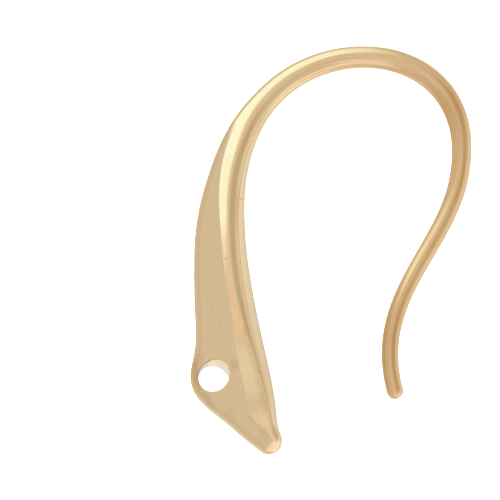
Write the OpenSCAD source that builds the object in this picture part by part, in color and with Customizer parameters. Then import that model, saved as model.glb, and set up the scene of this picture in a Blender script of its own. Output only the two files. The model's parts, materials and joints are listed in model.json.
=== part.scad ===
// Cast ear wire: a round wire bent to a hook, whose front end swells into a
// keeled, drilled leaf with a rounded toe. It is one piece of polished metal,
// and it lies on its side as it would on a table.

/* [Wire] */
// Diameter at the tail's rounded tip
tail_d = 0.80; // [0.6:0.05:1]
// Diameter at the back bend, where the tail runs into the loop
bend_d = 0.96; // [0.7:0.02:1.2]
// Diameter over the top of the loop
loop_d = 1.06; // [0.8:0.02:1.3]
// Diameter at the neck, where the loop runs into the front
neck_d = 1.22; // [1:0.02:1.5]

/* [Hook] */
// Length of wire in the tail, from its tip to the back bend
tail_length = 13.2; // [10:0.1:16]
// Length of wire in the loop over the ear, from the back bend to the neck
loop_length = 12.35; // [11:0.05:14]
// Length of the front, from the neck to the tip of its toe
front_length = 18.0; // [15:0.1:21]

/* [Front] */
// Greatest width, from flank to flank
front_width = 3.18; // [2.6:0.02:4]
// Depth from the widest line to the back, the side that faces the ear
back_depth = 1.12; // [0.9:0.02:1.4]
// Radius of the keel, the rounded edge between the flanks
keel_radius = 0.40; // [0.3:0.02:0.5]
// Length of the rounded end of the toe
toe_length = 0.45; // [0.3:0.05:0.6]

/* [Hole] */
// Diameter of the hole, drilled from flank to flank
hole_d = 1.50; // [1:0.05:1.7]
// Metal between the hole and the keel
hole_wall = 0.37; // [0.3:0.01:0.6]
// Distance from the hole back to the widest line
hole_setback = 0.82; // [0.6:0.02:1.1]
// Distance of the hole from the neck, along the front
hole_from_neck = 13.8; // [12.8:0.1:14.8]

/* [Fineness] */
// Points round each section
section_points = 28; // [20:4:32]
// Sections along each millimetre
sections_per_mm = 3.9; // [2:0.1:4]

/* [Hidden] */

bend_at = tail_length;
neck_at = bend_at + loop_length;
spine_length = neck_at + front_length;
keel_reach = hole_setback + hole_d + hole_wall;

// Heading of the wire, seen from the side
// share of its stretch, degrees from the x axis
TAIL_ANGLES = [[0, 108], [0.15, 92], [0.30, 74.5], [0.45, 63], [0.60, 60.5], [0.75, 67], [0.88, 80]];
LOOP_ANGLES = [[0, 92.5], [0.15, 115], [0.30, 141.5], [0.45, 165], [0.60, 183.5], [0.80, 206]];
FRONT_ANGLES = [[0, 229], [0.15, 249.5], [0.30, 264], [0.45, 275], [0.60, 281], [0.80, 283.5],
               [0.90, 288], [0.95, 303], [1, 315]];

// Thickness of the wire
// share of its stretch, share of the way from the diameter before to the one after
TAIL_SHARES = [[0, 0], [0.35, 0.15], [0.75, 0.45]];
LOOP_SHARES = [[0, 0], [0.20, 0.80], [0.40, 1], [0.62, 1]];

// Form of the front
// share of its length, shares of half its width, of the keel's reach and of the
// back's depth, and how far the edge has drawn in from the neck's to the keel's radius
FRONT_SHARES = [
    [0.08, 0.418, 0.272, 0.620, 0.10],
    [0.16, 0.465, 0.312, 0.700, 0.25],
    [0.24, 0.531, 0.360, 0.790, 0.40],
    [0.32, 0.630, 0.435, 0.890, 0.50],
    [0.39, 0.735, 0.497, 0.950, 0.60],
    [0.47, 0.822, 0.553, 0.985, 0.70],
    [0.54, 0.890, 0.617, 1.000, 0.80],
    [0.61, 0.943, 0.685, 1.000, 0.90],
    [0.66, 0.985, 0.747, 1.000, 0.97],
    [0.70, 1.000, 0.848, 1.000, 1.00],
    [0.74, 0.992, 0.975, 1.000, 1.00],
    [0.77, 0.970, 1.000, 1.000, 1.00],
    [0.80, 0.930, 0.965, 0.985, 1.00],
    [0.84, 0.865, 0.810, 0.950, 1.00],
    [0.89, 0.735, 0.535, 0.850, 1.00],
    [0.945, 0.520, 0.310, 0.640, 1.00],
    [0.975, 0.400, 0.240, 0.510, 1.00],
    [1.00, 0.340, 0.205, 0.420, 1.00]
];

// Headings and sizes along the whole spine. The first column is the distance from
// the tail's tip. The sizes are half the width, the keel's reach, the back's depth
// and the radius of the edge, which in the plain wire are all its radius.
function stretched(rows, at, length) = [for (r = rows) [at + r[0] * length, r[1]]];
function swollen(rows, at, length, from, to) =
    [for (r = rows)
        let (radius = (from + r[1] * (to - from)) / 2)
        [at + r[0] * length, radius, radius, radius, radius]];
headings = concat(stretched(TAIL_ANGLES, 0, tail_length),
                  stretched(LOOP_ANGLES, bend_at, loop_length),
                  stretched(FRONT_ANGLES, neck_at, front_length));
sizes = concat(
    swollen(TAIL_SHARES, 0, tail_length, tail_d, bend_d),
    swollen(LOOP_SHARES, bend_at, loop_length, bend_d, loop_d),
    swollen([[0, 1]], neck_at, front_length, loop_d, neck_d),
    [for (r = FRONT_SHARES)
        [neck_at + r[0] * front_length, r[1] * front_width / 2, r[2] * keel_reach, r[3] * back_depth,
         neck_d / 2 + r[4] * (keel_radius - neck_d / 2)]]);

// Smooth curve through column c of a table, read at x in its first column
function slope(rows, c, i) =
    let (a = max(i - 1, 0), b = min(i + 1, len(rows) - 1))
    (rows[b][c] - rows[a][c]) / (rows[b][0] - rows[a][0]);
function row_before(rows, x) = max([for (i = [0 : len(rows) - 2]) if (i == 0 || x >= rows[i][0]) i]);
function smooth(rows, c, x) =
    let (i = row_before(rows, x),
         span = rows[i + 1][0] - rows[i][0],
         u = (x - rows[i][0]) / span,
         v = 1 - u)
    rows[i][c] * v * v * (1 + 2 * u) + rows[i + 1][c] * u * u * (1 + 2 * v)
        + span * u * v * (slope(rows, c, i) * v - slope(rows, c, i + 1) * u);

// Spine: the wire's centre line, which becomes the front's widest line
spine_steps = 440;
step = spine_length / spine_steps;
spine = [for (i = 0, at = [0, 0], h = smooth(headings, 1, step / 2);
              i <= spine_steps;
              at = at + step * [cos(h), sin(h)], i = i + 1, h = smooth(headings, 1, (i + 0.5) * step))
         at];
function spine_at(s) =
    let (i = min(floor(s / step), spine_steps - 1), u = s / step - i)
    spine[i] * (1 - u) + spine[i + 1] * u;
function outward(s) = let (h = smooth(headings, 1, s)) [sin(h), -cos(h)];

// Section: a keel circle and a back ellipse, joined by flat flanks. The normal of
// a flank is turned flank_turn degrees from the outward direction. In the plain
// wire both are the same circle, and its points are spread evenly.
keel_points = section_points / 4;
back_points = section_points - keel_points;
even_turn = 180 * keel_points / section_points;
least_turn = 12;
round_below = 0.05 * keel_radius;
function flank_turn(half, keel, back, edge) =
    let (far = keel - edge,
         n = far * far + half * half - back * back,
         root = sqrt(max(0, far * far * edge * edge + n * (half * half - edge * edge))))
    far < round_below ? even_turn : max(least_turn, acos(min(1, (root - far * edge) / n)));
function section(s) =
    let (half = smooth(sizes, 1, s),
         keel = smooth(sizes, 2, s),
         back = smooth(sizes, 3, s),
         edge = min(smooth(sizes, 4, s), half, keel),
         turn = flank_turn(half, keel, back, edge))
    concat(
        [for (i = [0 : keel_points - 1])
            let (a = turn * (2 * (i + 0.5) / keel_points - 1))
            [keel - edge + edge * cos(a), edge * sin(a)]],
        [for (i = [0 : back_points - 1])
            let (a = turn + (360 - 2 * turn) * (i + 0.5) / back_points,
                 h = norm([back * cos(a), half * sin(a)]))
            [back * back * cos(a) / h, half * half * sin(a) / h]]);

// Rings of points along the spine, drawn in to a pole at each rounded end
cap_rings = 5;
plain_length = spine_length - tail_d / 2 - toe_length;
plain_rings = ceil(plain_length * sections_per_mm);
cap_turns = [for (i = [0 : cap_rings - 1]) 90 * (i + 0.5) / cap_rings];
// distance from the tail's tip, share of the section's full size
rings = concat(
    [for (a = cap_turns) [tail_d / 2 * (1 - cos(a)), sin(a)]],
    [for (i = [0 : plain_rings]) [tail_d / 2 + plain_length * i / plain_rings, 1]],
    [for (i = [cap_rings - 1 : -1 : 0])
        [spine_length - toe_length * (1 - cos(cap_turns[i])), sin(cap_turns[i])]]);
function ring_points(r) =
    let (at = spine_at(r[0]), out = outward(r[0]))
    [for (p = section(r[0]) * r[1]) [at[0] + p[0] * out[0], at[1] + p[0] * out[1], p[1]]];
skin_points = concat([for (r = rings) each ring_points(r)],
                     [[spine[0][0], spine[0][1], 0], [spine[spine_steps][0], spine[spine_steps][1], 0]]);
tail_pole = len(rings) * section_points;
toe_pole = tail_pole + 1;
last_ring = tail_pole - section_points;
function next(j) = (j + 1) % section_points;
skin_faces = concat(
    [for (i = [0 : len(rings) - 2], j = [0 : section_points - 1])
        let (a = i * section_points, b = a + section_points)
        each [[a + j, b + next(j), b + j], [a + j, a + next(j), b + next(j)]]],
    [for (j = [0 : section_points - 1]) [tail_pole, next(j), j]],
    [for (j = [0 : section_points - 1]) [toe_pole, last_ring + j, last_ring + next(j)]]);

// Hole: its wall to the keel is measured square to the spine
hole_sides = 48;
hole_at = let (s = neck_at + hole_from_neck)
    spine_at(s) + outward(s) * (smooth(sizes, 2, s) - hole_wall - hole_d / 2);

// Rest: the wire lies on two places of the front's widest line and on the top of the loop
// share of the stretch's length
FRONT_CONTACT_SHARES = [0.51, 0.655];
LOOP_CONTACT_SHARES = [0.56];
function underside(s) = let (at = spine_at(s)) [at[0], at[1], -smooth(sizes, 1, s)];
function unit(v) = v / norm(v);
contacts = [for (share = FRONT_CONTACT_SHARES) underside(neck_at + share * front_length),
            for (share = LOOP_CONTACT_SHARES) underside(bend_at + share * loop_length)];
up = unit(cross(contacts[1] - contacts[0], contacts[2] - contacts[0]));
along = unit([1, 0, 0] - up[0] * up);
rest = [along, cross(up, along), up];
rested = [for (p = skin_points) rest * p];
function least(axis) = min([for (p = rested) p[axis]]);
function most(axis) = max([for (p = rested) p[axis]]);
place = [-(least(0) + most(0)) / 2, -(least(1) + most(1)) / 2, -least(2)];

module laid_down() {
    multmatrix([for (axis = [0 : 2]) [each rest[axis], place[axis]]]) children();
}

module ear_wire() {
    color("#d3ba91")
    laid_down()
    difference() {
        polyhedron(skin_points, skin_faces, convexity = 6);
        translate([hole_at[0], hole_at[1], -front_width])
            cylinder(h = 2 * front_width, d = hole_d, $fn = hole_sides);
    }
}

ear_wire();
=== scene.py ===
"""A cast ear wire in polished, pale gold plate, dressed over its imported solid.

The skin follows the same spine and sections as the solid, with finer faces and eased
curves. It adds a crisp ridge with a facet behind it, and the worn rims of the hole.
Lengths are in millimetres and are turned to metres when a mesh is made.
"""
import json
import math

import bpy
import numpy as np
from mathutils import Matrix, Vector


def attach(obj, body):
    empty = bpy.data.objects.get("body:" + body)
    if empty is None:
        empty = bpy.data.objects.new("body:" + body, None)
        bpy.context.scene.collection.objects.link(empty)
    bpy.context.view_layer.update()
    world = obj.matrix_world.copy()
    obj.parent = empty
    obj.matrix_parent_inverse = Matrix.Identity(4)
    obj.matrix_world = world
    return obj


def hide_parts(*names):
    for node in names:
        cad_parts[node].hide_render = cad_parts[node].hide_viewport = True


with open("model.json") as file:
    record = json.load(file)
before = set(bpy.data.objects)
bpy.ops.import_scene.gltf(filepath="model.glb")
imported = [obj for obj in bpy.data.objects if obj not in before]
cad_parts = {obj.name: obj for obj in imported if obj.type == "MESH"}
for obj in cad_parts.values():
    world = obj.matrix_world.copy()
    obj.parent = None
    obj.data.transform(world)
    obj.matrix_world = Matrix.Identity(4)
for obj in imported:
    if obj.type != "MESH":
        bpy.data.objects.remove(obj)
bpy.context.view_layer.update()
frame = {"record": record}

MM = 0.001

# Driving sizes, as in the solid
TAIL_D, BEND_D, LOOP_D, NECK_D = 0.80, 0.96, 1.06, 1.22
TAIL_LENGTH, LOOP_LENGTH, FRONT_LENGTH = 13.2, 12.35, 18.0
FRONT_WIDTH, BACK_DEPTH, KEEL_RADIUS, TOE_LENGTH = 3.18, 1.12, 0.40, 0.45
HOLE_D, HOLE_WALL, HOLE_SETBACK, HOLE_FROM_NECK = 1.50, 0.37, 0.82, 13.8
BEND_AT = TAIL_LENGTH
NECK_AT = BEND_AT + LOOP_LENGTH
SPINE_LENGTH = NECK_AT + FRONT_LENGTH
KEEL_REACH = HOLE_SETBACK + HOLE_D + HOLE_WALL
HOLE_R = HOLE_D / 2

# Heading of the wire, seen from the side: share of its stretch, degrees from the x axis
TAIL_ANGLES = [(0, 108), (0.15, 92), (0.30, 74.5), (0.45, 63), (0.60, 60.5), (0.75, 67), (0.88, 80)]
LOOP_ANGLES = [(0, 92.5), (0.15, 115), (0.30, 141.5), (0.45, 165), (0.60, 183.5), (0.80, 206)]
FRONT_ANGLES = [(0, 229), (0.15, 249.5), (0.30, 264), (0.45, 275), (0.60, 281), (0.80, 283.5),
                (0.90, 288), (0.95, 303), (1, 315)]

# Thickness of the wire: share of its stretch, share of the way between its diameters
TAIL_SHARES = [(0, 0), (0.35, 0.15), (0.75, 0.45)]
LOOP_SHARES = [(0, 0), (0.20, 0.80), (0.40, 1), (0.62, 1)]

# Form of the front: share of its length, shares of half its width, of the keel's reach and
# of the back's depth, and how far its edge has drawn in from the neck's to the keel's radius
FRONT_SHARES = [
    (0.08, 0.418, 0.272, 0.620, 0.10),
    (0.16, 0.465, 0.312, 0.700, 0.25),
    (0.24, 0.531, 0.360, 0.790, 0.40),
    (0.32, 0.630, 0.435, 0.890, 0.50),
    (0.39, 0.735, 0.497, 0.950, 0.60),
    (0.47, 0.822, 0.553, 0.985, 0.70),
    (0.54, 0.890, 0.617, 1.000, 0.80),
    (0.61, 0.943, 0.685, 1.000, 0.90),
    (0.66, 0.985, 0.747, 1.000, 0.97),
    (0.70, 1.000, 0.848, 1.000, 1.00),
    (0.74, 0.992, 0.975, 1.000, 1.00),
    (0.77, 0.970, 1.000, 1.000, 1.00),
    (0.80, 0.930, 0.965, 0.985, 1.00),
    (0.84, 0.865, 0.810, 0.950, 1.00),
    (0.89, 0.735, 0.535, 0.850, 1.00),
    (0.945, 0.520, 0.310, 0.640, 1.00),
    (0.975, 0.400, 0.240, 0.510, 1.00),
    (1.00, 0.340, 0.205, 0.420, 1.00),
]

# Crown of the front, which runs from a ridge over the widest line to the back. The columns are the
# share of the front's length, the ridge's offset as a share of half the local width, the offset of
# the crown's middle as a share of the back's local depth, how far the round side towards the ridge
# has become a facet, and the facet's slope. The plain wire keeps the form of the first row.
CROWN_SHARES = [
    (-0.20, 0.707, 0.00, 0.0, 0.32),
    (0.00, 0.707, 0.00, 0.0, 0.32),
    (0.08, 0.70, -0.05, 0.3, 0.32),
    (0.14, 0.66, -0.10, 0.9, 0.32),
    (0.19, 0.575, -0.12, 1.0, 0.31),
    (0.25, 0.43, -0.15, 1.0, 0.30),
    (0.31, 0.26, -0.19, 1.0, 0.28),
    (0.36, 0.15, -0.21, 1.0, 0.26),
    (0.42, 0.09, -0.20, 1.0, 0.23),
    (0.47, 0.08, -0.18, 1.0, 0.19),
    (0.53, 0.08, -0.17, 1.0, 0.12),
    (0.60, 0.09, -0.20, 1.0, 0.06),
    (0.66, 0.13, -0.27, 1.0, 0.05),
    (0.71, 0.18, -0.35, 1.0, 0.06),
    (0.75, 0.20, -0.42, 1.0, 0.08),
    (0.80, 0.21, -0.49, 1.0, 0.08),
    (0.85, 0.25, -0.54, 1.0, 0.08),
    (0.90, 0.38, -0.56, 1.0, 0.10),
    (0.925, 0.08, -0.56, 1.0, 0.12),
    (0.95, -0.15, -0.54, 1.0, 0.14),
    (1.00, -0.20, -0.50, 1.0, 0.15),
]
# Reach over which the facet's top is rounded
FACET_SOFT = 0.06

# Places on which the wire lies, as shares of the front's and of the loop's length
FRONT_CONTACT_SHARES = (0.51, 0.655)
LOOP_CONTACT_SHARE = 0.56

# Fineness of the skin: distance between the stations at which curves along the spine are kept, and the
# reach of their easing
STEP, EASE = 0.01, 0.3
RING_SPACING = 0.08
CAP_RINGS = 16
# Points on one half of a section: on the keel's arc, up to the ridge, and in all
KEEL_POINTS, RIDGE_POINT, HALF_POINTS = 10, 28, 80
# Distance between the ridge and the points beside it
RIDGE_STRIP = 0.035
# Points on each curve of a section before they are spread by length
FINE = 200
# The ridge's turn in the plain wire, and the keel's reach past its circle below which it takes over
ROUND_TURN, ROUND_BELOW = math.radians(45), 0.1
# The least that anything is divided by
TINY = 1e-9

# Hole: its rim has a small round, which is worn wider towards one side
RIM_RADIUS, RIM_WORN, WORN_TURN = 0.035, 0.14, math.radians(88)
# Skin that is laid anew round the hole, and the rows of faces on it, on the rim and down the wall
RIM_MARGIN = 0.22
MOUTH_ROWS, RIM_ROWS, WALL_ROWS = 6, 9, 24
# Reach over which the skin's slope is measured, and rounds in which a station and a reach settle
PROBE, STATION_ROUNDS, REACH_ROUNDS = 0.002, 8, 6
# Relief of the drilled wall: depth, waves along it, slant and drift of its rings
RING_DEPTH, RING_WAVES, RING_SLANT, RING_DRIFT = 0.004, 34, 0.8, 5
# and depth, waves round it and twist of its ripple
RIPPLE_DEPTH, RIPPLE_WAVES, RIPPLE_TWIST = 0.003, 9, 11


# Curves along the spine

def headings():
    """Rows of station and heading for the whole spine."""
    stretches = [(TAIL_ANGLES, 0, TAIL_LENGTH), (LOOP_ANGLES, BEND_AT, LOOP_LENGTH),
                 (FRONT_ANGLES, NECK_AT, FRONT_LENGTH)]
    return np.array([(at + share * length, angle)
                     for rows, at, length in stretches
                     for share, angle in rows])


def sizes():
    """Rows of station, half width, keel reach, back depth and edge radius for the whole spine."""
    rows = []
    for shares, at, length, start, end in [(TAIL_SHARES, 0, TAIL_LENGTH, TAIL_D, BEND_D),
                                           (LOOP_SHARES, BEND_AT, LOOP_LENGTH, BEND_D, LOOP_D),
                                           ([(0, 1)], NECK_AT, FRONT_LENGTH, LOOP_D, NECK_D)]:
        for share, grown in shares:
            radius = (start + grown * (end - start)) / 2
            rows.append([at + share * length] + 4 * [radius])
    for share, half, keel, back, drawn in FRONT_SHARES:
        edge = NECK_D / 2 + drawn * (KEEL_RADIUS - NECK_D / 2)
        rows.append([NECK_AT + share * FRONT_LENGTH, half * FRONT_WIDTH / 2, keel * KEEL_REACH,
                     back * BACK_DEPTH, edge])
    return np.array(rows)


def curve(rows, column, at):
    """Smooth curve through a column of a table, read at stations."""
    x, y = rows[:, 0], rows[:, column]
    slope = np.gradient(y, x)
    slope[1:-1] = (y[2:] - y[:-2]) / (x[2:] - x[:-2])
    i = np.clip(np.searchsorted(x, at, side="right") - 1, 0, len(x) - 2)
    span = x[i + 1] - x[i]
    u = (at - x[i]) / span
    v = 1 - u
    return (y[i] * v * v * (1 + 2 * u) + y[i + 1] * u * u * (1 + 2 * v)
            + span * u * v * (slope[i] * v - slope[i + 1] * u))


def eased(values):
    """Values along the spine with the kinks in their curvature smoothed, so that reflections flow."""
    reach = int(4 * EASE / STEP)
    kernel = np.exp(-0.5 * (np.arange(-reach, reach + 1) * STEP / EASE) ** 2)
    padded = np.pad(values, reach, mode="reflect", reflect_type="odd")
    return np.convolve(padded, kernel / kernel.sum(), mode="valid")


def crown_rows():
    """Rows of station, ridge offset, crown middle, share of the facet and its slope."""
    rows = np.array(CROWN_SHARES)
    rows[:, 0] = NECK_AT + rows[:, 0] * FRONT_LENGTH
    return np.vstack([(0, *rows[0, 1:]), rows])


STATIONS = np.arange(0, SPINE_LENGTH + STEP / 2, STEP)
HEADING = np.radians(eased(curve(headings(), 1, STATIONS)))
HALF, KEEL, BACK, EDGE = [eased(curve(sizes(), column, STATIONS)) for column in (1, 2, 3, 4)]
RIDGE, MIDDLE, FACET, SLOPE = [eased(curve(crown_rows(), column, STATIONS)) for column in (1, 2, 3, 4)]
mid_heading = np.radians(eased(curve(headings(), 1, STATIONS[:-1] + STEP / 2)))
strides = STEP * np.stack([np.cos(mid_heading), np.sin(mid_heading)], 1)
SPINE = np.concatenate([[(0, 0)], np.cumsum(strides, 0)])


def read(values, s):
    """Values kept along the spine, read at stations."""
    return np.interp(s, STATIONS, values)


def spine_at(s):
    return np.stack([read(SPINE[:, 0], s), read(SPINE[:, 1], s)], -1)


def outward(s):
    """Direction in the hook's plane from the spine towards the keel."""
    heading = read(HEADING, s)
    return np.stack([np.sin(heading), -np.cos(heading)], -1)


# Sections: a keel circle and a crown, joined by flat flanks that end in a ridge

def crown_height(crown, offset):
    """Height of the crown at an offset: round to the back, and partly a facet towards the ridge."""
    half, back, middle, facet, slope = crown
    away = offset - middle
    reach = np.where(away > 0, back, back + middle)
    round_part = half * np.sqrt(np.clip(1 - (away / reach) ** 2, 0, None))
    facet_part = half - slope * (np.hypot(away, FACET_SOFT) - FACET_SOFT)
    return np.where(away > 0, round_part + facet * (facet_part - round_part), round_part)


def section_sizes(s):
    """Keel reach, edge radius, ridge offset, flank's turn and the sizes of the crown."""
    half, keel, back, edge, ridge, middle, facet, slope = [
        read(values, s) for values in (HALF, KEEL, BACK, EDGE, RIDGE, MIDDLE, FACET, SLOPE)]
    edge = np.minimum(edge, np.minimum(half, keel))
    middle = middle * back
    # Where a line that is tangent to the keel's circle is tangent to the round crown
    far = keel - edge - middle
    n = far ** 2 + half ** 2 - back ** 2
    n = np.where(np.abs(n) < TINY, TINY, n)
    root = np.sqrt(np.maximum(0, (far * edge) ** 2 + n * (half ** 2 - edge ** 2)))
    cosine = np.clip((root - far * edge) / n, 0, 1)
    tangent = middle + back ** 2 * cosine / np.hypot(back * cosine, half * np.sqrt(1 - cosine ** 2))
    grown = np.clip((keel - edge) / ROUND_BELOW, 0, 1)
    tangent = tangent * grown + half * math.cos(ROUND_TURN) * (1 - grown)
    ridge = tangent + facet * (ridge * half - tangent)
    crown = (half, back, middle, facet, slope)
    rise = crown_height(crown, ridge)
    away = ridge - keel + edge
    turn = np.arctan2(rise, away) - np.arccos(np.clip(edge / np.hypot(away, rise), -1, 1))
    return keel, edge, ridge, turn, crown


def height(s, offset):
    """Half the thickness of the section at an offset from the spine towards the keel."""
    keel, edge, ridge, turn, crown = section_sizes(s)
    on_keel, keel_rise = keel - edge + edge * np.cos(turn), edge * np.sin(turn)
    ridge_rise = crown_height(crown, ridge)
    keel_side = np.sqrt(np.clip(edge ** 2 - (offset - keel + edge) ** 2, 0, None))
    share = (offset - ridge) / np.maximum(on_keel - ridge, TINY)
    flank = ridge_rise + share * (keel_rise - ridge_rise)
    towards_keel = np.where(offset > on_keel, keel_side, flank)
    return np.where(offset < ridge, crown_height(crown, offset), towards_keel)


def outline(s):
    """Points (offset, height) round the section at s: from the keel over the ridge and back below."""
    keel, edge, ridge, turn, crown = section_sizes(s)
    half, back, middle = crown[:3]
    a = np.linspace(0, turn, FINE)
    arc = np.stack([keel - edge + edge * np.cos(a), edge * np.sin(a)], 1)
    front = np.linspace(ridge, middle, FINE)
    front = np.stack([front, crown_height(crown, front)], 1)
    rear = np.linspace(math.pi / 2, math.pi, 3 * FINE)[1:]
    rear = np.stack([middle + (back + middle) * np.cos(rear), half * np.sin(rear)], 1)
    upper = np.concatenate([arc, front, rear])
    length = np.concatenate([[0], np.cumsum(np.linalg.norm(np.diff(upper, axis=0), axis=1))])
    arc_end, ridge_at = length[FINE - 1], length[FINE]
    arc_end = min(arc_end, ridge_at * KEEL_POINTS / RIDGE_POINT)
    at = np.concatenate([
        np.linspace(0, arc_end, KEEL_POINTS + 1)[:-1],
        np.linspace(arc_end, ridge_at - RIDGE_STRIP, RIDGE_POINT - KEEL_POINTS),
        [ridge_at],
        np.linspace(ridge_at + RIDGE_STRIP, length[-1], HALF_POINTS - RIDGE_POINT)])
    points = np.stack([np.interp(at, length, upper[:, 0]), np.interp(at, length, upper[:, 1])], 1)
    return np.concatenate([points, points[-2:0:-1] * (1, -1)])


def ring_table():
    """Station of each ring and the share of its section's full size, drawn in at the rounded ends."""
    turns = np.radians(90 * (np.arange(CAP_RINGS) + 0.5) / CAP_RINGS)
    plain = SPINE_LENGTH - TAIL_D / 2 - TOE_LENGTH
    count = math.ceil(plain / RING_SPACING)
    return ([(TAIL_D / 2 * (1 - math.cos(a)), math.sin(a)) for a in turns]
            + [(TAIL_D / 2 + plain * i / count, 1.0) for i in range(count + 1)]
            + [(SPINE_LENGTH - TOE_LENGTH * (1 - math.cos(a)), math.sin(a)) for a in turns[::-1]])


def skin_grid(rings):
    """Points of the skin, ring by ring, and the straightened place (station, offset, height) of each."""
    points, straight = [], []
    for s, share in rings:
        ring = outline(s) * share
        in_plane = spine_at(s) + ring[:, :1] * outward(s)
        points.append(np.column_stack([in_plane, ring[:, 1]]))
        straight.append(np.column_stack([np.full(len(ring), s), ring]))
    return np.array(points), np.array(straight)


# Hole: a ring of quads fans from its rim to a block of the skin that is left out

hole_s = NECK_AT + HOLE_FROM_NECK
hole_offset = read(KEEL, hole_s) - HOLE_WALL - HOLE_R
hole_at = spine_at(hole_s) + outward(hole_s) * hole_offset


def straightened(xy):
    """Station and offset of points in the hook's plane near the hole."""
    s = np.full(len(xy), hole_s)
    for _ in range(STATION_ROUNDS):
        out = outward(s)
        away = xy - spine_at(s)
        s = s + away[:, 1] * out[:, 0] - away[:, 0] * out[:, 1]
    return s, np.sum((xy - spine_at(s)) * outward(s), axis=1)


def skin_height(xy):
    """Height of the skin, without its hole, over points in the hook's plane near the hole."""
    return height(*straightened(xy))


def rim_radius(spokes):
    """Radius of the rim's arc for each spoke from the hole's axis."""
    facing = spokes @ (math.cos(WORN_TURN), math.sin(WORN_TURN))
    return RIM_RADIUS + RIM_WORN * np.clip(facing, 0, 1) ** 2


def mouth_profile(spokes):
    """For each spoke: where the rim's arc leaves the skin, its centre's height and its end."""
    rim = rim_radius(spokes)
    reach = HOLE_R + rim
    for _ in range(REACH_ROUNDS):
        rise = skin_height(hole_at + spokes * (reach + PROBE)[:, None])
        fall = skin_height(hole_at + spokes * (reach - PROBE)[:, None])
        slope = (rise - fall) / (2 * PROBE)
        steep = np.hypot(1, slope)
        reach = HOLE_R + rim - rim * slope / steep
    centre = skin_height(hole_at + spokes * reach[:, None]) - rim / steep
    return reach, centre, np.arctan2(1, -slope)


def wall_relief(angle, share):
    """How far the drilled wall stands off its true radius: shallow rings that come and go, and a ripple."""
    rings = RING_DEPTH * np.sin(RING_WAVES * share + RING_SLANT * np.sin(angle))
    strength = np.sin(2 * angle + RING_DRIFT * share)
    ripple = RIPPLE_DEPTH * np.sin(RIPPLE_WAVES * angle + RIPPLE_TWIST * share)
    return rings * strength + ripple


def hole_rows(edge_points):
    """Rows of points from the block's edge over the rim, through the hole and out to the other side."""
    away = edge_points[:, :2] - hole_at
    spokes = away / np.linalg.norm(away, axis=1, keepdims=True)
    reach, centre, end_turn = mouth_profile(spokes)
    rim = rim_radius(spokes)
    rows = []
    for i in range(1, MOUTH_ROWS + 1):
        share = i / MOUTH_ROWS
        xy = edge_points[:, :2] * (1 - share) + (hole_at + spokes * reach[:, None]) * share
        rows.append(np.column_stack([xy, skin_height(xy)]))
    for i in range(1, RIM_ROWS + 1):
        turn = end_turn + (math.pi - end_turn) * i / RIM_ROWS
        r = HOLE_R + rim + rim * np.cos(turn)
        rows.append(np.column_stack([hole_at + spokes * r[:, None], centre + rim * np.sin(turn)]))
    angle = np.arctan2(spokes[:, 1], spokes[:, 0])
    # The outermost of the mirrored rows is left out: the faces there reach to the block's edge
    lower = [row * (1, 1, -1) for row in rows[:0:-1]]
    for i in range(1, WALL_ROWS):
        share = i / WALL_ROWS
        r = HOLE_R + wall_relief(angle, share) * math.sin(math.pi * share)
        rows.append(np.column_stack([hole_at + spokes * r[:, None], centre * (1 - 2 * share)]))
    return rows + lower


# Rest: the hook's plane is laid on three places of the wire

def underside(s):
    """Lowest point of the section at s, before the wire is laid down."""
    return np.append(spine_at(s), -read(HALF, s))


def unit(v):
    return v / np.linalg.norm(v)


def rest_turn():
    """Rotation from the hook's plane to the wire as it lies."""
    a, b = [underside(NECK_AT + share * FRONT_LENGTH) for share in FRONT_CONTACT_SHARES]
    c = underside(BEND_AT + LOOP_CONTACT_SHARE * LOOP_LENGTH)
    up = unit(np.cross(b - a, c - a))
    along = unit(np.array((1, 0, 0)) - up[0] * up)
    return np.array([along, np.cross(up, along), up])


REST = rest_turn()
drop_hole = next(mount for mount in frame["record"]["mounts"] if mount["name"] == "drop_hole")
HOLE_PLACE = np.array(drop_hole["pos_m"])


def laid_down(points):
    """Points of the hook's plane, in millimetres, as they lie in the frame, in metres."""
    return HOLE_PLACE + MM * (points - np.append(hole_at, 0)) @ REST.T


# Skin: rings along the spine, a point at each end, and bands through the hole

def block_round_hole(stations, offsets):
    """First and last ring, inner and outer column of the block of skin that the hole's bands replace."""
    margin = HOLE_R + RIM_MARGIN
    first, last = np.searchsorted(stations, (hole_s - margin, hole_s + margin))
    half_ring = offsets[(first + last) // 2, : offsets.shape[1] // 2]
    inner = int(np.sum(half_ring > hole_offset + margin)) - 1
    outer = int(np.sum(half_ring > hole_offset - margin))
    return first, last, inner, outer


def skin_faces(number, block):
    """Faces between the rings, without the block round the hole and its mirror image."""
    first, last, inner, outer = block
    rows, columns = number.shape
    faces = []
    for i in range(rows - 1):
        for j in range(columns):
            mirrored = min(j, columns - 1 - j)
            if first <= i < last and inner <= mirrored < outer:
                continue
            k = (j + 1) % columns
            faces.append((number[i, j], number[i + 1, j], number[i + 1, k], number[i, k]))
    return faces


def block_edges(number, block):
    """Points round the block's edge, and their mirror images on the other side."""
    first, last, inner, outer = block
    columns = number.shape[1]
    around = [(first, j) for j in range(inner, outer)] + [(i, outer) for i in range(first, last)]
    around += [(last, j) for j in range(outer, inner, -1)] + [(i, inner) for i in range(last, first, -1)]
    return (np.array([number[i, j] for i, j in around]),
            np.array([number[i, (columns - j) % columns] for i, j in around]))


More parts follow.
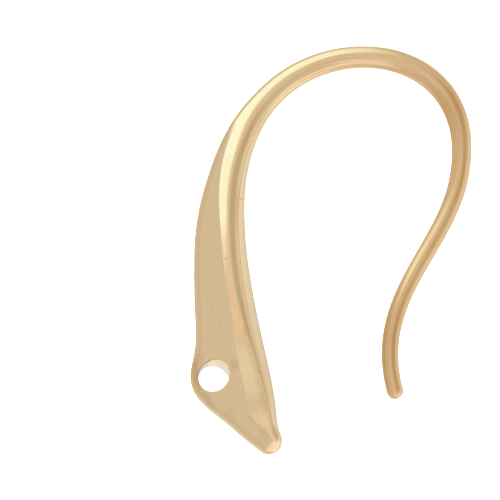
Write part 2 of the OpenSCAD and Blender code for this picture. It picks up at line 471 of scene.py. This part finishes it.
def ear_wire_mesh():
    """Points of the skin, their straightened places, the faces, and which of the faces are drilled."""
    rings = ring_table()
    grid, straight = skin_grid(rings)
    number = np.arange(grid.shape[0] * grid.shape[1]).reshape(grid.shape[:2])
    block = block_round_hole(np.array([s for s, _ in rings]), straight[:, :, 1])
    points = [grid.reshape(-1, 3)]
    places = [straight.reshape(-1, 3)]
    faces = skin_faces(number, block)
    total = number.size
    for ring, station, side in ((number[0], 0, 1), (number[-1], SPINE_LENGTH, -1)):
        points.append([(*spine_at(station), 0)])
        places.append([(station, 0, 0)])
        faces += [(total, *pair[::side]) for pair in zip(ring, np.roll(ring, -1))]
        total += 1

    edge, far_edge = block_edges(number, block)
    bands = [edge]
    for row in hole_rows(points[0][edge]):
        bands.append(np.arange(total, total + len(edge)))
        points.append(row)
        s, offset = straightened(row[:, :2])
        places.append(np.column_stack([s, offset, row[:, 2]]))
        total += len(edge)
    bands.append(far_edge)
    drilled = [False] * len(faces)
    drilled_from, drilled_to = MOUTH_ROWS, MOUTH_ROWS + 2 * RIM_ROWS + WALL_ROWS
    for band, (a, b) in enumerate(zip(bands, bands[1:])):
        for k in range(len(edge)):
            n = (k + 1) % len(edge)
            faces.append((a[k], b[k], b[n], a[n]))
            drilled.append(drilled_from <= band < drilled_to)
    return np.concatenate(points), np.concatenate(places), faces, drilled


# Materials
# A range is the stretch of a noise over which its effect grows

# The front has the plate's own pale gold. The deeper, more orange gold on the wire that goes through the
# ear is painted shade, standing in for the dimmer, warmer light that the wire reflects
PALE_GOLD = (0.93, 0.705, 0.42)
WIRE_GOLD_AND_SHADE = (0.88, 0.605, 0.32)
PALE_FROM, PALE_BY = 15.0, 27.0
# Painted shade in a gold darker and more orange still, at the tail's end and at the back of the loop:
# station of the middle, half length, strength
DULL_GOLD_AND_SHADE = (0.78, 0.485, 0.23)
PAINTED_SHADE_PLACES = [(3.2, 3.0, 0.7), (15.0, 2.4, 0.8)]
# It has faint warmer patches, and on the wire also brushed lines of the darker gold that the painted shade
# uses, which fade to the front
PATCH_RANGE, PATCH_STRENGTH = (0.45, 0.8), 0.12
BRUSH_RANGE, BRUSH_STRENGTH = (0.4, 0.7), 0.6
BRUSH_STATIONS, BRUSH_LEFT = (18, 30), 0.15
# Gold of the tarnish, which also paints the darker reflection along the keel. Tarnish in soft stains,
# mostly round the hole: station, offset, reaches along and across, strength
TARNISH_AND_REFLECTION_GOLD = (0.78, 0.50, 0.25)
STAINS = [
    (39.0, 2.40, 1.3, 0.30, 0.85),
    (40.3, 2.05, 0.8, 0.28, 0.42),
    (41.3, 1.25, 0.5, 0.30, 0.30),
    (38.4, 2.05, 0.5, 0.35, 0.40),
    (39.2, 0.52, 0.35, 0.30, 0.50),
    (36.4, 0.95, 0.55, 0.10, 0.22),
    (37.1, 0.72, 0.60, 0.08, 0.20),
    (34.9, 1.15, 0.7, 0.07, 0.15),
    (42.6, 0.10, 0.5, 0.30, 0.40),
    (42.9, -0.35, 0.5, 0.20, 0.60),
    (31.5, -0.60, 1.6, 0.08, 0.45),
]
# How much noise the stains' edges have, and the distances between which they fade, in their reaches
STAIN_RAGGED, STAIN_FADE = 1.2, (0.3, 1.7)
# Thin lines of tarnish along the wire: station and offset where each starts and ends, half width, strength
SEAMS = [
    (29.0, -0.64, 38.5, -0.64, 0.035, 0.45),
    (20.5, -0.44, 28.0, -0.44, 0.025, 0.30),
    (35.5, -0.34, 43.2, -0.46, 0.14, 0.55),
    (15.8, -0.38, 18.3, -0.02, 0.035, 0.70),
    (13.2, 0.02, 15.9, -0.38, 0.04, 0.80),
    (9.5, 0.10, 14.0, 0.05, 0.03, 0.50),
    (3.0, -0.05, 9.0, 0.12, 0.025, 0.35),
    (38.5, 1.55, 38.9, 2.20, 0.08, 0.80),
    (41.3, 0.70, 42.3, 0.15, 0.05, 0.45),
    (41.8, 1.05, 43.3, 0.38, 0.04, 0.45),
]
# Share of a seam's length that tapers at each end, and the noise at which it breaks up
SEAM_TAPER, SEAM_BREAKS = 0.25, (0.3, 0.6)
# Faint streaks of tarnish all over
STREAK_RANGE, STREAK_STRENGTH = (0.6, 0.75), 0.2
# Small pits with dark bottoms: station, offset, radius
PITS = [(39.80, -0.54, 0.045), (30.85, -0.79, 0.04), (13.40, -0.35, 0.035), (34.02, -0.02, 0.03)]
PIT_BROWN = (0.30, 0.20, 0.11)
PIT_DEPTH = 0.03
# Painted reflection: a darker strip along the keel's round, for the darker band that the round edge
# reflects.
# Heights from the hook's plane over which it begins and ends, offsets over which it begins, stations over
# which it grows and then pales, and what is left of it
STRIP_BEGINS, STRIP_ENDS = (0.28, 0.34), (0.40, 0.50)
STRIP_OFFSETS = (0.3, 0.5)
STRIP_GROWS, STRIP_STRENGTH = (20, 23), 0.55
STRIP_PALES, STRIP_LEFT = (27, 30), 0.5
# Tint of what the plate reflects at a glancing angle
EDGE_TINT = (0.87, 0.79, 0.67)
# The wire is satin at the tail and brighter from the neck on
SATIN_STATIONS = (14.0, 25.0)
SATIN_ROUGHNESS = (0.19, 0.09)
# Its polishing lines are a little rougher, and so is the back at the toe
LINE_RANGE, LINE_ROUGHNESS = (0.3, 0.75), 0.06
BACK_STATIONS, BACK_OFFSETS, BACK_ROUGHNESS = (36.5, 38.5), (-0.5, -0.35), 0.2
# Heights of the polishing lines and of a soft swell
LINE_HEIGHT, SWELL_HEIGHT = 0.0003, 0.003
# Gold of the hole's wall: between its scores, in them, and where the tarnish and the painted reflection
# along the keel fall
DRILLED_LIGHT = (0.98, 0.79, 0.48)
DRILLED_DEEP = (0.86, 0.62, 0.33)
DRILLED_TARNISH_AND_REFLECTION = (0.55, 0.40, 0.24)
SCORE_COLOURS, SCORE_RANGE, DRILLED_ROUGHNESS = (0.35, 0.7), (0.3, 0.7), (0.15, 0.25)
SCORE_HEIGHT = 0.003
# Noise in the finish: how it is stretched by station, offset and height, its scale, detail and roughness
RAGGED = ((1.0, 2.5, 2.5), 3.0, 4, 0.65)
STREAKS = ((0.9, 5.0, 5.0), 2.0, 3, 0.5)
PATCHES = ((0.35, 1.0, 1.0), 1.1, 3, 0.5)
BRUSHING = ((0.3, 8.0, 8.0), 1.4, 4, 0.7)
POLISHING = ((0.25, 9.0, 9.0), 1.6, 4, 0.65)
SWELL = ((0.5, 1.6, 1.6), 1.0, 2, 0.5)
SCORES = ((9.0, 9.0, 1.5), 1.5, 4, 0.7)


class Nodes:
    """Short calls to add and join the nodes of one tree."""

    def __init__(self, tree):
        self.tree = tree

    def add(self, kind, **values):
        node = self.tree.nodes.new(kind)
        for name, value in values.items():
            setattr(node, name, value)
        return node

    def join(self, source, target):
        self.tree.links.new(source, target)

    def put(self, socket, value):
        if isinstance(value, bpy.types.NodeSocket):
            self.join(value, socket)
        else:
            socket.default_value = value

    def math(self, operation, *values):
        node = self.add("ShaderNodeMath", operation=operation)
        for socket, value in zip(node.inputs, values):
            self.put(socket, value)
        return node.outputs[0]

    def dot(self, vector, direction):
        node = self.add("ShaderNodeVectorMath", operation="DOT_PRODUCT")
        self.put(node.inputs[0], vector)
        node.inputs[1].default_value = direction
        return node.outputs["Value"]

    def ramp(self, value, low, high, start=0.0, end=1.0):
        """Smooth change from start to end as value goes from low to high."""
        node = self.add("ShaderNodeMapRange", interpolation_type="SMOOTHSTEP")
        for socket, number in zip(node.inputs, (value, low, high, start, end)):
            self.put(socket, number)
        return node.outputs[0]

    def noise(self, vector, stretch, scale, detail, roughness):
        """Noise at a vector whose parts are stretched one by one."""
        stretched = self.add("ShaderNodeVectorMath", operation="MULTIPLY")
        self.put(stretched.inputs[0], vector)
        stretched.inputs[1].default_value = stretch
        node = self.add("ShaderNodeTexNoise")
        self.join(stretched.outputs[0], node.inputs["Vector"])
        node.inputs["Scale"].default_value = scale
        node.inputs["Detail"].default_value = detail
        node.inputs["Roughness"].default_value = roughness
        return node.outputs["Fac"]

    def squares(self, a, b):
        """Sum of the squares of two values."""
        return self.math("ADD", self.math("MULTIPLY", a, a), self.math("MULTIPLY", b, b))

    def multiply_add(self, value, vector, added):
        node = self.add("ShaderNodeVectorMath", operation="MULTIPLY_ADD")
        self.put(node.inputs[0], value)
        node.inputs[1].default_value = vector
        self.put(node.inputs[2], added)
        return node.outputs[0]

    def mix(self, share, a, b):
        node = self.add("ShaderNodeMix", data_type="RGBA")
        self.put(node.inputs[0], share)
        self.put(node.inputs[6], a)
        self.put(node.inputs[7], b)
        return node.outputs[2]


def station_and_offset(nodes, place):
    """The first two parts of a straightened place."""
    return nodes.dot(place, (1, 0, 0)), nodes.dot(place, (0, 1, 0))


def stains(nodes, station, offset, ragged):
    """Strength of the stains, which have ragged edges."""
    total = 0.0
    for at, across, along_reach, across_reach, strength in STAINS:
        along = nodes.math("DIVIDE", nodes.math("SUBTRACT", station, at), along_reach)
        aside = nodes.math("DIVIDE", nodes.math("SUBTRACT", offset, across), across_reach)
        away = nodes.math("MULTIPLY_ADD", ragged, STAIN_RAGGED, nodes.squares(along, aside))
        total = nodes.math("ADD", total, nodes.ramp(away, *STAIN_FADE, strength, 0.0))
    return total


def seams(nodes, station, offset, ragged):
    """Strength of the seams, which taper at both ends and break up."""
    total = 0.0
    for start, start_across, end, end_across, half, strength in SEAMS:
        slope = (end_across - start_across) / (end - start)
        taper = SEAM_TAPER * (end - start)
        across = nodes.math("MULTIPLY_ADD", station, slope, start_across - slope * start)
        away = nodes.math("ABSOLUTE", nodes.math("SUBTRACT", offset, across))
        line = nodes.ramp(away, 0, 2 * half, strength, 0.0)
        line = nodes.math("MULTIPLY", line, nodes.ramp(station, start, start + taper))
        line = nodes.math("MULTIPLY", line, nodes.ramp(station, end - taper, end, 1.0, 0.0))
        line = nodes.math("MULTIPLY", line, nodes.ramp(ragged, *SEAM_BREAKS))
        total = nodes.math("ADD", total, line)
    return total


def painted_keel_reflection(nodes, place):
    """Strength of the painted reflection: a darker strip along the keel's round."""
    station, offset = station_and_offset(nodes, place)
    rise = nodes.math("ABSOLUTE", nodes.dot(place, (0, 0, 1)))
    strip = nodes.math("MULTIPLY", nodes.ramp(rise, *STRIP_BEGINS), nodes.ramp(rise, *STRIP_ENDS, 1.0, 0.0))
    strip = nodes.math("MULTIPLY", strip, nodes.ramp(station, *STRIP_GROWS, 0.0, STRIP_STRENGTH))
    strip = nodes.math("MULTIPLY", strip, nodes.ramp(offset, *STRIP_OFFSETS))
    return nodes.math("MULTIPLY", strip, nodes.ramp(station, *STRIP_PALES, 1.0, STRIP_LEFT))


def tarnish_and_painted_reflection(nodes, place):
    """Strength of the tarnish, and of the painted reflection along the keel, at a straightened place."""
    station, offset = station_and_offset(nodes, place)
    ragged = nodes.noise(place, *RAGGED)
    total = nodes.math("ADD", stains(nodes, station, offset, ragged), seams(nodes, station, offset, ragged))
    # The painted reflection along the keel is added to the tarnish
    total = nodes.math("ADD", total, painted_keel_reflection(nodes, place))
    streaks = nodes.ramp(nodes.noise(place, *STREAKS), *STREAK_RANGE, 0.0, STREAK_STRENGTH)
    return nodes.math("MINIMUM", nodes.math("ADD", total, streaks), 1.0)


def pits(nodes, place):
    """Depth of the pits at a straightened place, as a share of their full depth."""
    station, offset = station_and_offset(nodes, place)
    total = 0.0
    for at, across, radius in PITS:
        away = nodes.squares(nodes.math("SUBTRACT", station, at), nodes.math("SUBTRACT", offset, across))
        total = nodes.math("ADD", total, nodes.ramp(away, 0, radius ** 2, 1.0, 0.0))
    return total


def plate_colour(nodes, place):
    """Colour of the plate: its own pale gold to the front, painted shade on the wire and in places, with
    brushed lines, tarnish, a painted reflection along the keel, and pits.
    """
    station = nodes.dot(place, (1, 0, 0))
    patches = nodes.ramp(nodes.noise(place, *PATCHES), *PATCH_RANGE, 0.0, PATCH_STRENGTH)
    # The wire's deeper gold is painted shade; the front keeps the plate's own pale gold
    pale = nodes.math("SUBTRACT", nodes.ramp(station, PALE_FROM, PALE_BY), patches)
    colour = nodes.mix(pale, (*WIRE_GOLD_AND_SHADE, 1), (*PALE_GOLD, 1))
    # Painted shade at the tail's end and at the back of the loop
    for middle, reach, strength in PAINTED_SHADE_PLACES:
        away = nodes.math("ABSOLUTE", nodes.math("SUBTRACT", station, middle))
        colour = nodes.mix(nodes.ramp(away, 0, reach, strength, 0.0), colour, (*DULL_GOLD_AND_SHADE, 1))
    lines = nodes.ramp(nodes.noise(place, *BRUSHING), *BRUSH_RANGE, 0.0, BRUSH_STRENGTH)
    brushed = nodes.math("MULTIPLY", lines, nodes.ramp(station, *BRUSH_STATIONS, 1.0, BRUSH_LEFT))
    colour = nodes.mix(brushed, colour, (*DULL_GOLD_AND_SHADE, 1))
    # Tarnish, with the painted reflection along the keel, in the darker gold
    colour = nodes.mix(tarnish_and_painted_reflection(nodes, place), colour, (*TARNISH_AND_REFLECTION_GOLD, 1))
    return nodes.mix(pits(nodes, place), colour, (*PIT_BROWN, 1))


def plate_roughness(nodes, place):
    """Roughness of the plate: satin at the tail, with polishing lines, and rougher behind the toe."""
    station, offset = station_and_offset(nodes, place)
    satin = nodes.ramp(station, *SATIN_STATIONS, *SATIN_ROUGHNESS)
    back = nodes.math("MULTIPLY", nodes.ramp(station, *BACK_STATIONS),
                      nodes.ramp(offset, *BACK_OFFSETS, BACK_ROUGHNESS, 0.0))
    lines = nodes.ramp(nodes.noise(place, *POLISHING), *LINE_RANGE, 0.0, LINE_ROUGHNESS)
    return nodes.math("ADD", nodes.math("ADD", satin, back), lines)


def plate_relief(nodes, place):
    """Finest relief of the plate in metres: polishing lines, a soft swell and the pits."""
    lines = nodes.math("MULTIPLY", nodes.noise(place, *POLISHING), LINE_HEIGHT * MM)
    swell = nodes.math("MULTIPLY", nodes.noise(place, *SWELL), SWELL_HEIGHT * MM)
    depth = nodes.math("MULTIPLY", pits(nodes, place), PIT_DEPTH * MM)
    return nodes.math("SUBTRACT", nodes.math("ADD", lines, swell), depth)


def metal(name):
    """A new metal with its nodes, its shader and the straightened place that its finish follows."""
    material = bpy.data.materials.new(name)
    material.use_nodes = True
    nodes = Nodes(material.node_tree)
    shader = material.node_tree.nodes["Principled BSDF"]
    shader.inputs["Metallic"].default_value = 1.0
    place = nodes.add("ShaderNodeAttribute", attribute_name="straight").outputs["Vector"]
    return material, nodes, shader, place


def add_relief(nodes, shader, relief):
    """Tilt the shader's normal by a relief in metres."""
    bump = nodes.add("ShaderNodeBump")
    bump.inputs["Strength"].default_value = 1.0
    bump.inputs["Distance"].default_value = 1.0
    nodes.join(relief, bump.inputs["Height"])
    nodes.join(bump.outputs[0], shader.inputs["Normal"])


def gold_plate():
    material, nodes, shader, place = metal("gold_plate")
    shader.inputs["Specular Tint"].default_value = (*EDGE_TINT, 1)
    nodes.join(plate_colour(nodes, place), shader.inputs["Base Color"])
    nodes.join(plate_roughness(nodes, place), shader.inputs["Roughness"])
    add_relief(nodes, shader, plate_relief(nodes, place))
    return material


def drilled_gold():
    """The hole's wall: rougher, with fine scores along it, and tarnished as the plate round it, with the
    band of the painted keel reflection that falls on it.
    """
    material, nodes, shader, place = metal("drilled_gold")
    scores = nodes.noise(place, *SCORES)
    colour = nodes.mix(nodes.ramp(scores, *SCORE_COLOURS), (*DRILLED_LIGHT, 1), (*DRILLED_DEEP, 1))
    # Tarnish, with the painted keel reflection, on the wall
    colour = nodes.mix(tarnish_and_painted_reflection(nodes, place), colour, (*DRILLED_TARNISH_AND_REFLECTION, 1))
    nodes.join(colour, shader.inputs["Base Color"])
    nodes.join(nodes.ramp(scores, *SCORE_RANGE, *DRILLED_ROUGHNESS), shader.inputs["Roughness"])
    add_relief(nodes, shader, nodes.math("MULTIPLY", scores, SCORE_HEIGHT * MM))
    return material


# Piece

def add_ear_wire():
    points, places, faces, drilled = ear_wire_mesh()
    mesh = bpy.data.meshes.new("gold_ear_wire")
    mesh.from_pydata(laid_down(points).tolist(), [], [tuple(int(i) for i in face) for face in faces])
    attribute = mesh.attributes.new("straight", "FLOAT_VECTOR", "POINT")
    attribute.data.foreach_set("vector", places.astype(np.float32).ravel())
    mesh.materials.append(gold_plate())
    mesh.materials.append(drilled_gold())
    mesh.polygons.foreach_set("material_index", np.array(drilled, np.int32))
    mesh.polygons.foreach_set("use_smooth", np.ones(len(faces), bool))
    mesh.update()
    mesh.validate()
    piece = bpy.data.objects.new("gold_ear_wire", mesh)
    bpy.context.scene.collection.objects.link(piece)
    return piece


# Floor, light and camera

# Half the floor's side, in metres, and its finish
FLOOR_REACH = 2.0
FLOOR_WHITE, FLOOR_ROUGHNESS, FLOOR_GLOW = (0.9, 0.9, 0.9, 1), 0.9, 0.6
# Strength of the light on the floor, and the angle from which it comes
OVERHEAD_STRENGTH, OVERHEAD_SPREAD = 5.0, math.radians(150)


def pale_floor():
    material = bpy.data.materials.new("pale_floor")
    material.use_nodes = True
    shader = material.node_tree.nodes["Principled BSDF"]
    shader.inputs["Base Color"].default_value = FLOOR_WHITE
    shader.inputs["Roughness"].default_value = FLOOR_ROUGHNESS
    shader.inputs["Emission Color"].default_value = (1, 1, 1, 1)
    shader.inputs["Emission Strength"].default_value = FLOOR_GLOW
    return material


def add_floor():
    corners = [(x * FLOOR_REACH, y * FLOOR_REACH, 0) for x, y in ((-1, -1), (1, -1), (1, 1), (-1, 1))]
    mesh = bpy.data.meshes.new("floor")
    mesh.from_pydata(corners, [], [(0, 1, 2, 3)])
    mesh.materials.append(pale_floor())
    floor = bpy.data.objects.new("floor", mesh)
    floor.visible_glossy = False
    bpy.context.scene.collection.objects.link(floor)
    return floor


def add_overhead_light():
    """A broad light from above for the floor alone: the tent lights the metal."""
    light = bpy.data.lights.new("overhead", "SUN")
    light.energy = OVERHEAD_STRENGTH
    light.angle = OVERHEAD_SPREAD
    overhead = bpy.data.objects.new("overhead", light)
    overhead.visible_glossy = False
    bpy.context.scene.collection.objects.link(overhead)


def toward(azimuth, polar):
    """Direction by its azimuth from +X and its angle from straight up, in degrees."""
    a, p = math.radians(azimuth), math.radians(polar)
    return (math.sin(p) * math.cos(a), math.sin(p) * math.sin(a), math.cos(p))


# Soft patches of the light tent: azimuth, angle from straight up, full and outer radius in degrees,
# and the red, green and blue that each adds to the tent's even light
TENT_PATCHES = [
    (70, 16, 9, 25, (0.04, 0.04, 0.02)),
    (112, 34, 7, 20, (0.12, 0.03, -0.03)),
    (190, 14, 8, 22, (0.05, 0.06, 0.06)),
    (180, 8, 5, 14, (0.05, 0.05, 0.07)),
    (300, 20, 5, 22, (-0.03, -0.04, -0.06)),
    (348, 40, 8, 26, (-0.03, -0.05, -0.07)),
    (28, 46, 12, 30, (-0.12, -0.17, -0.24)),
    (2, 90, 18, 38, (0.05, 0.04, 0.04)),
    (270, 36, 8, 24, (0.17, 0.18, 0.20)),
    (270, 70, 10, 28, (0.25, 0.26, 0.30)),
    (310, 88, 15, 36, (0.30, 0.30, 0.28)),
    (350, 138, 30, 75, (0.15, 0.21, 0.27)),
    (110, 132, 14, 38, (0.10, 0.12, 0.14)),
    (222, 122, 10, 28, (0.10, 0.16, 0.22)),
    (270, 166, 14, 30, (0.12, 0.10, 0.04)),
    (38, 166, 4, 10, (-0.40, -0.40, -0.36)),
]
TENT_LEVEL = 0.70
# Standing softbox: azimuth of its middle, the tangents at which its sides, foot and top fade, its light,
# and how far ahead a direction points towards it before it is seen there
SOFTBOX_AZIMUTH = 122
SOFTBOX_SIDES = (-1.1, -0.45, 0.27, 0.36)
SOFTBOX_HEIGHTS = (-0.42, -0.04, 0.85, 1.85)
SOFTBOX_LIGHT = (0.36, 0.68, 0.82)
SOFTBOX_AHEAD = (0.0, 0.05)


def light_tent():
    """A pale tent round the wire with one tall softbox, which the polished metal reflects."""
    world = bpy.data.worlds.new("light_tent")
    bpy.context.scene.world = world
    world.use_nodes = True
    nodes = Nodes(world.node_tree)
    direction = nodes.add("ShaderNodeTexCoord").outputs["Generated"]
    light = (TENT_LEVEL, TENT_LEVEL, TENT_LEVEL)
    for azimuth, polar, full, outer, added in TENT_PATCHES:
        near = nodes.dot(direction, toward(azimuth, polar))
        patch = nodes.ramp(near, math.cos(math.radians(outer)), math.cos(math.radians(full)))
        light = nodes.multiply_add(patch, added, light)
    ahead = nodes.dot(direction, toward(SOFTBOX_AZIMUTH, 90))
    aside = nodes.math("DIVIDE", nodes.dot(direction, toward(SOFTBOX_AZIMUTH + 90, 90)), ahead)
    above = nodes.math("DIVIDE", nodes.dot(direction, (0, 0, 1)), ahead)
    softbox = nodes.ramp(ahead, *SOFTBOX_AHEAD)
    for value, (start, full, fade, end) in ((aside, SOFTBOX_SIDES), (above, SOFTBOX_HEIGHTS)):
        softbox = nodes.math("MULTIPLY", softbox, nodes.ramp(value, start, full))
        softbox = nodes.math("MULTIPLY", softbox, nodes.ramp(value, fade, end, 1.0, 0.0))
    light = nodes.multiply_add(softbox, SOFTBOX_LIGHT, light)
    seen = nodes.add("ShaderNodeLightPath").outputs["Is Camera Ray"]
    background = world.node_tree.nodes["Background"]
    nodes.join(nodes.mix(seen, light, (1, 1, 1, 1)), background.inputs["Color"])


# The photograph's view: its tilt towards the toe, its width, and how far right of and over the hole it is
VIEW_TILT = math.radians(12.5)
VIEW_WIDTH = 23.81
VIEW_RIGHT, VIEW_UP = 1.712, 6.132
# A long lens, as the photograph shows no perspective, but one that keeps views from other sides within
# their clip range, and the distance in metres from which the camera sees
LENS, SENSOR = 1400.0, 36.0
CLIP_START = 0.01


def add_camera():
    back = REST @ np.array((0, -math.sin(VIEW_TILT), math.cos(VIEW_TILT)))
    right = REST @ np.array((1, 0, 0))
    up = np.cross(back, right)
    middle = HOLE_PLACE + MM * (VIEW_RIGHT * right + VIEW_UP * up)
    camera = bpy.data.cameras.new("camera")
    camera.lens = LENS
    camera.sensor_width = SENSOR
    camera.clip_start = CLIP_START
    view = bpy.data.objects.new("camera", camera)
    turn = Matrix([(right[i], up[i], back[i]) for i in range(3)]).to_4x4()
    view.matrix_world = Matrix.Translation(Vector(middle + back * MM * VIEW_WIDTH * LENS / SENSOR)) @ turn
    bpy.context.scene.collection.objects.link(view)
    bpy.context.scene.camera = view


add_camera()
light_tent()
add_overhead_light()
bpy.context.scene.view_settings.view_transform = "Standard"
add_floor()
ear_wire = add_ear_wire()
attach(ear_wire, "root")
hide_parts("ear_wire")

bpy.context.view_layer.update()
